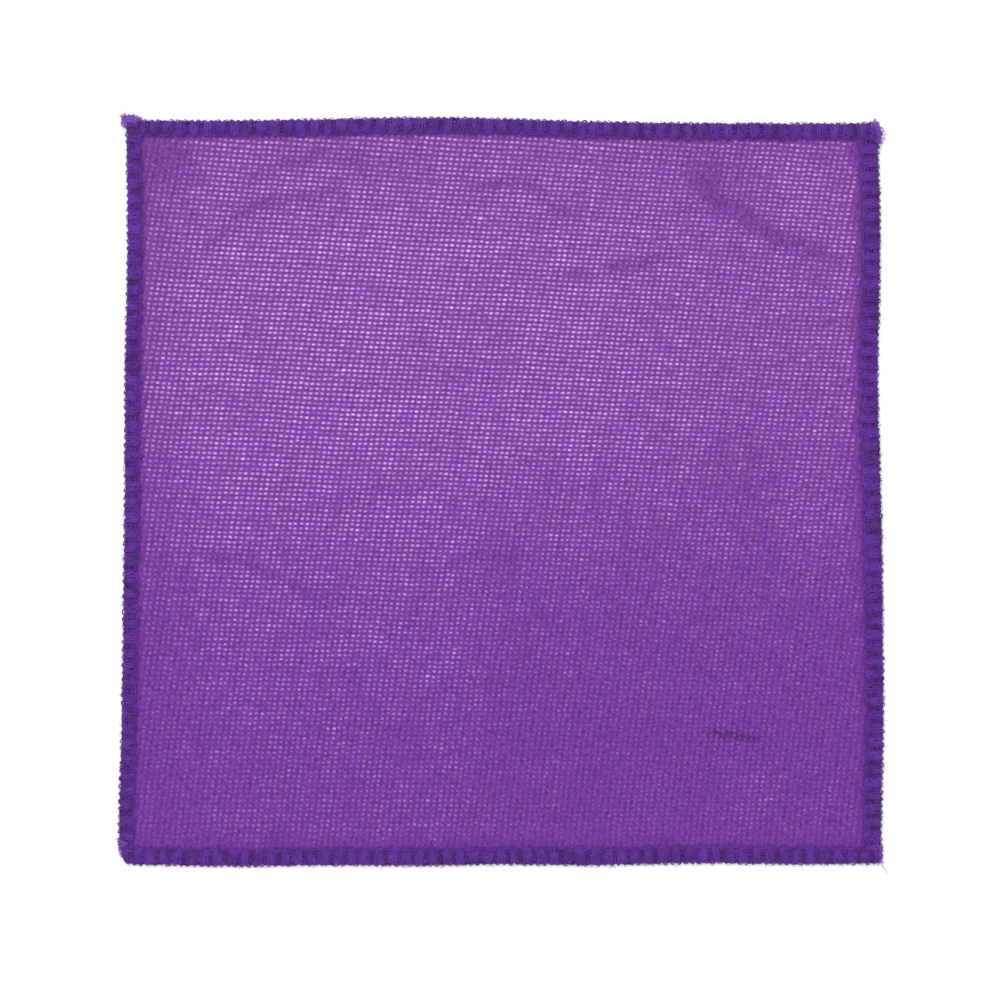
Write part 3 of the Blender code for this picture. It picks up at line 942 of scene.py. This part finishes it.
def make_tuft(tuft, side):
    """The fluffed end of a run: strands that leave the seam, loop out past the edge and come back."""
    thread = thread_curve("tuft_" + tuft.name, STRAND_RADIUS, 0)
    base, sign = (0.0, -1) if tuft.end == "start" else (run_length(side), 1)
    fine = TUFT_HAIR_RADIUS / STRAND_RADIUS

    def add(rows, per_segment, scale, look=0):
        path = smooth_path(np.array(rows) * MM, per_segment)
        stray = crimp(len(path), 2)
        past, inward, height = (path[:, k] + CRIMP * stray[k] for k in range(3))
        points = on_hem(side, base + sign * past, inward, np.maximum(height, LEAST_HEIGHT))
        add_strand(thread, points, scale, look)

    def outline(share):
        """How far the tuft reaches, beside its whole reach, from -1 to 1 across its width."""
        return 1 - tuft.tilt * share - tuft.rounding * share**2

    for _ in range(tuft.strands):
        first, last = tuft.centre + rng.uniform(-1, 1, 2) * tuft.width
        last = first + 0.6 * (last - first)
        across = (first + last) / 2
        out = tuft.reach * rng.uniform(0.35, 1.0) ** 0.7 * outline((across - tuft.centre) / tuft.width)
        low = rng.uniform(0.6, 2.4)
        # past the run's end, inset and height, in mm
        rows = (
            (-1.4, first, low),
            (out * 0.45, first, low + 0.3),
            (out * 0.9, (first + across) / 2, low + rng.uniform(-0.4, 0.5)),
            (out, across, low + rng.uniform(-0.5, 0.6)),
            (out * 0.85, (last + across) / 2, low + rng.uniform(-0.4, 0.5)),
            (out * 0.3, last, low + 0.2),
            (-1.2, last, low),
        )
        add(rows, 5, rng.uniform(0.45, 0.90))
    for _ in range(tuft.hairs):
        share = rng.uniform(-1.05, 1.05)
        past = tuft.reach * rng.uniform(0, 1) * outline(share)
        start = np.array((past, tuft.centre + share * tuft.width))
        turn = rng.uniform(0, 2 * np.pi)
        step = rng.uniform(0.25, 0.5) * np.array((math.cos(turn), math.sin(turn)))
        low = rng.uniform(0.8, 2.9)
        rows = [(*(start + k * step + 0.12 * rng.standard_normal(2)), low + 0.08 * k) for k in range(4)]
        add(rows, 2, fine, FUZZ)
    if tuft.loose:
        add(tuft.loose, 5, fine)
    return thread


# ---- Stage ----


FLOOR_SIZE = 8.0
FLOOR_HEIGHT = -0.0002           # just under the lower threads
KEY_PLACE, KEY_SIZE, KEY_POWER = (-0.40, 0.70, 1.6), 1.2, 13.5
LENS, SENSOR = 100.0, 36.0       # in mm
VIEW_WIDTH = 0.330               # width of the floor that the camera sees
VIEW_MIDDLE = (-0.0003, -0.0031)


def make_floor():
    bpy.ops.mesh.primitive_plane_add(size=FLOOR_SIZE, location=(0, 0, FLOOR_HEIGHT))
    floor = bpy.context.object
    floor.name = "floor"
    floor.data.materials.append(plain_material("floor", (0.97, 0.97, 0.97, 1.0), 0.9))


def add_light(name, place, size, power):
    """A square light that shines at the origin."""
    data = bpy.data.lights.new(name, "AREA")
    data.shape = "SQUARE"
    data.size = size
    data.energy = power
    light = bpy.data.objects.new(name, data)
    light.location = place
    light.rotation_euler = (-Vector(place)).to_track_quat("-Z", "Y").to_euler()
    bpy.context.collection.objects.link(light)


def make_studio():
    """White light from all round, and one large soft light from the back left."""
    world = bpy.data.worlds.new("studio")
    world.use_nodes = True
    background = world.node_tree.nodes["Background"]
    background.inputs["Color"].default_value = (1.0, 1.0, 1.0, 1.0)
    background.inputs["Strength"].default_value = 1.0
    bpy.context.scene.world = world
    add_light("key", KEY_PLACE, KEY_SIZE, KEY_POWER)
    bpy.context.scene.view_settings.view_transform = "Standard"


def make_camera():
    """Straight above the towel, with the back edge at the top of the picture."""
    data = bpy.data.cameras.new("camera")
    data.lens = LENS
    data.sensor_width = SENSOR
    camera = bpy.data.objects.new("camera", data)
    camera.location = (*VIEW_MIDDLE, VIEW_WIDTH * data.lens / data.sensor_width)
    bpy.context.collection.objects.link(camera)
    bpy.context.scene.camera = camera


# ---- Putting it together ----


def dress(piece, materials, node):
    """Gives a piece its materials, and has it stand for the CAD node."""
    for material in materials:
        piece.data.materials.append(material)
    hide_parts(node)
    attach(piece, "root")
    return piece


make_camera()
make_floor()
make_studio()

cloth = make_cloth()
dress(cloth, [cloth_material()], "fabric_panel")
looper_look = thread_material("looper_thread", THREAD_DEEP, THREAD_MID, THREAD_LIGHT)
fuzz_look = thread_material("looper_fuzz", THREAD_MID, THREAD_LIGHT, FLUFF)
fluff_look = thread_material("looper_fluff", FLUFF_DEEP, FLUFF, FLUFF_LIGHT)
# darker slack filaments: partly their own colour, partly painted shade between the stitches
bed_look = thread_material("looper_bed", BED_DEEP, BED_MID, THREAD_DEEP)
needle_look = thread_material("needle_thread", THREAD_DEEP, THREAD_MID, THREAD_LIGHT)
tail_look = thread_material("chain_tail", THREAD_MID, TUFT, FLUFF)
sewn_on = []
for side in SIDES:
    looks = [looper_look, fuzz_look, fluff_look, bed_look]
    sewn_on += [
        dress(make_upper(side), looks, "upper_looper_thread_" + side.name),
        dress(make_lower(side), looks, "lower_looper_thread_" + side.name),
        dress(make_needle(side), [needle_look], "needle_thread_" + side.name),
    ]
sides = {side.name: side for side in SIDES}
for tuft in TUFTS:
    piece = make_tuft(tuft, sides[tuft.side])
    sewn_on.append(dress(piece, [tail_look, fluff_look], tuft.name))
